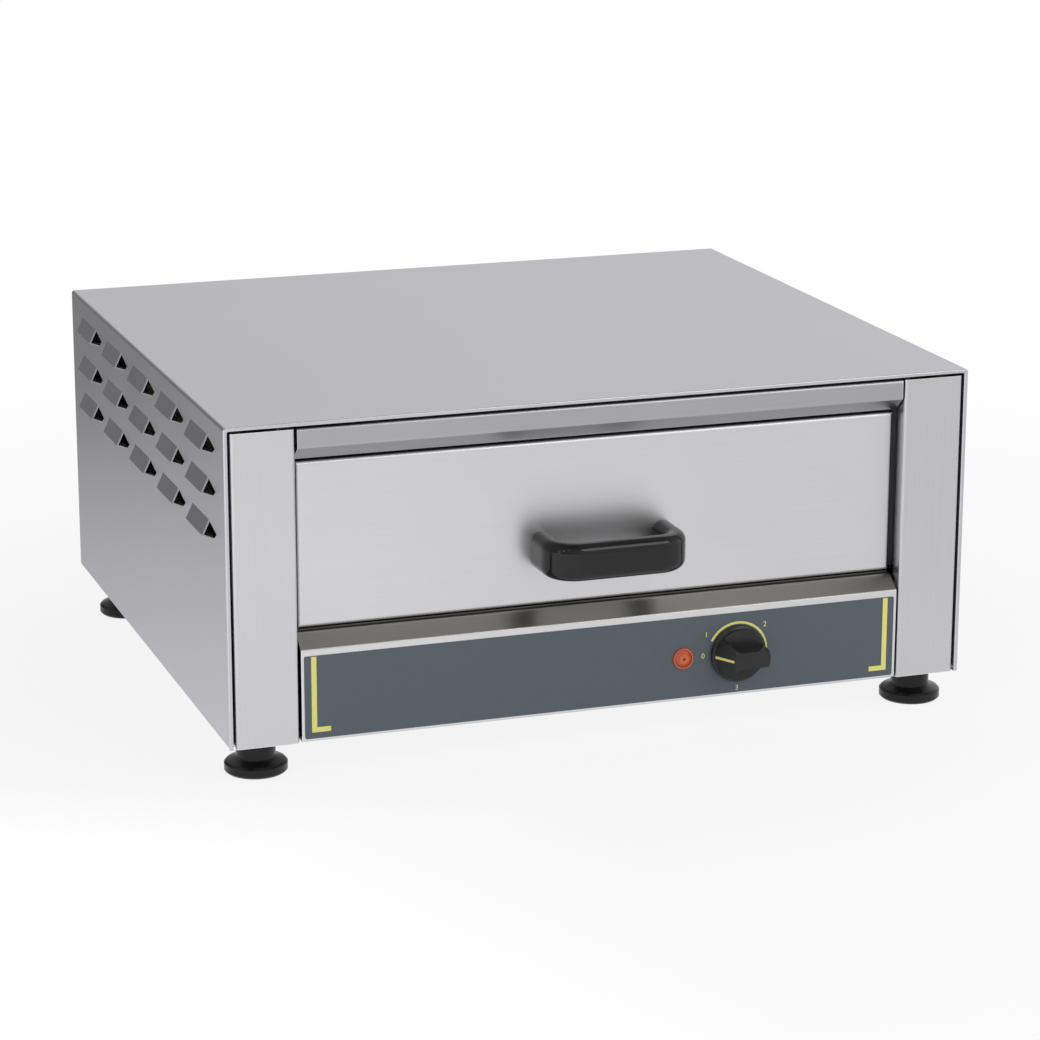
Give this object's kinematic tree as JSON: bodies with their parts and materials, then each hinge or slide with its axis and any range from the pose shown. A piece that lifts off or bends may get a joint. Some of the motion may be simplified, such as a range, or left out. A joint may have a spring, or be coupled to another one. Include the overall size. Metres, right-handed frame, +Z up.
{
  "type": "bun warmer",
  "caption": "Countertop bun warmer: louvred stainless steel casing with a heated drawer on telescopic slides, thermostat knob, pilot lamp and levelling feet.",
  "frame": {"origin": "centre of the outline on the surface that the feet stand on", "axes": "+Z up, -Y the front with the drawer, +X to the right as seen from the front"},
  "size_m": [0.5554, 0.528, 0.25],
  "materials": {
    "stainless_shell": "fine brushed satin stainless steel",
    "stainless_back": "mill-finish stainless steel, duller than the shell",
    "stainless_liner": "plain cold-rolled stainless steel",
    "slate_overlay": "matt slate grey printed panel",
    "zinc_steel": "bright zinc-plated steel",
    "mineral_wool": "felted mineral wool",
    "heater_sheath": "heat-darkened sheath",
    "thermostat_moulding": "moulded thermoset",
    "spindle_steel": "turned steel",
    "probe_copper": "drawn copper",
    "knob_black": "satin black moulding",
    "pointer_yellow": "filled pointer line",
    "lamp_amber": "translucent orange-red lens",
    "terminal_white": "moulded terminal block",
    "lead_insulation": "heat-resistant wire insulation",
    "gland_black": "moulded black nylon",
    "handle_black": "glossy black thermoset",
    "foot_black": "black moulded foot"
  },
  "bodies": {
    "cabinet": {"outer_casing": "stainless_shell", "right_post": "stainless_shell", "top_rail": "stainless_shell", "control_fascia": "stainless_shell", "fascia_overlay": "slate_overlay", "base_plate": "stainless_back", "rear_panel": "stainless_back", "rear_panel_screws": "zinc_steel", "cable_gland": "gland_black", "gland_nut": "gland_black", "liner_right_wall": "stainless_liner", "liner_ceiling": "stainless_liner", "liner_floor": "stainless_liner", "liner_rear_wall": "stainless_liner", "liner_support_legs": "zinc_steel", "insulation_top": "mineral_wool", "insulation_right": "mineral_wool", "insulation_rear": "mineral_wool", "insulation_floor": "mineral_wool", "heater_element": "heater_sheath", "heater_supports": "zinc_steel", "thermostat_body": "thermostat_moulding", "thermostat_screws": "zinc_steel", "thermostat_probe": "probe_copper", "pilot_lamp_lens": "lamp_amber", "pilot_lamp_body": "thermostat_moulding", "terminal_block": "terminal_white", "wiring_loom": "lead_insulation", "foot_nuts": "zinc_steel", "right_outer_rail": "zinc_steel", "left_post": "stainless_shell", "liner_left_wall": "stainless_liner", "insulation_left": "mineral_wool", "left_outer_rail": "zinc_steel"},
    "middle_rails": {"right_middle_rail": "zinc_steel", "left_middle_rail": "zinc_steel"},
    "drawer": {"drawer_front": "stainless_shell", "drawer_front_insulation": "mineral_wool", "drawer_front_liner": "stainless_liner", "drawer_right_side": "stainless_liner", "drawer_left_side": "stainless_liner", "drawer_back": "stainless_liner", "drawer_bottom": "stainless_liner", "handle": "handle_black", "handle_screws": "zinc_steel", "right_inner_rail": "zinc_steel", "left_inner_rail": "zinc_steel"},
    "knob": {"knob": "knob_black", "knob_pointer": "pointer_yellow", "thermostat_spindle": "spindle_steel"},
    "front_left_foot": {"front_left_foot_pad": "foot_black", "front_left_foot_stud": "zinc_steel"},
    "front_right_foot": {"front_right_foot_pad": "foot_black", "front_right_foot_stud": "zinc_steel"},
    "rear_left_foot": {"rear_left_foot_pad": "foot_black", "rear_left_foot_stud": "zinc_steel"},
    "rear_right_foot": {"rear_right_foot_pad": "foot_black", "rear_right_foot_stud": "zinc_steel"}
  },
  "joints": [
    {"name": "drawer_slide", "type": "slide", "parent": "cabinet", "child": "drawer", "axis": [0, -1, 0], "range_m": [0, 0.35]},
    {"name": "middle_rail_slide", "type": "slide", "parent": "cabinet", "child": "middle_rails", "axis": [0, -1, 0], "range_m": [0, 0.175]},
    {"name": "knob_turn", "type": "hinge", "parent": "cabinet", "child": "knob", "pos_m": [0.0985, -0.232, 0.0567], "axis": [0, 1, 0], "range_deg": [0, 270]},
    {"name": "front_left_foot_screw", "type": "slide", "parent": "cabinet", "child": "front_left_foot", "axis": [0, 0, -1], "range_m": [0, 0.01]},
    {"name": "front_right_foot_screw", "type": "slide", "parent": "cabinet", "child": "front_right_foot", "axis": [0, 0, -1], "range_m": [0, 0.01]},
    {"name": "rear_left_foot_screw", "type": "slide", "parent": "cabinet", "child": "rear_left_foot", "axis": [0, 0, -1], "range_m": [0, 0.01]},
    {"name": "rear_right_foot_screw", "type": "slide", "parent": "cabinet", "child": "rear_right_foot", "axis": [0, 0, -1], "range_m": [0, 0.01]}
  ],
  "couplings": [
    {"joint": "middle_rail_slide", "follows": "drawer_slide", "ratio": 0.5}
  ]
}
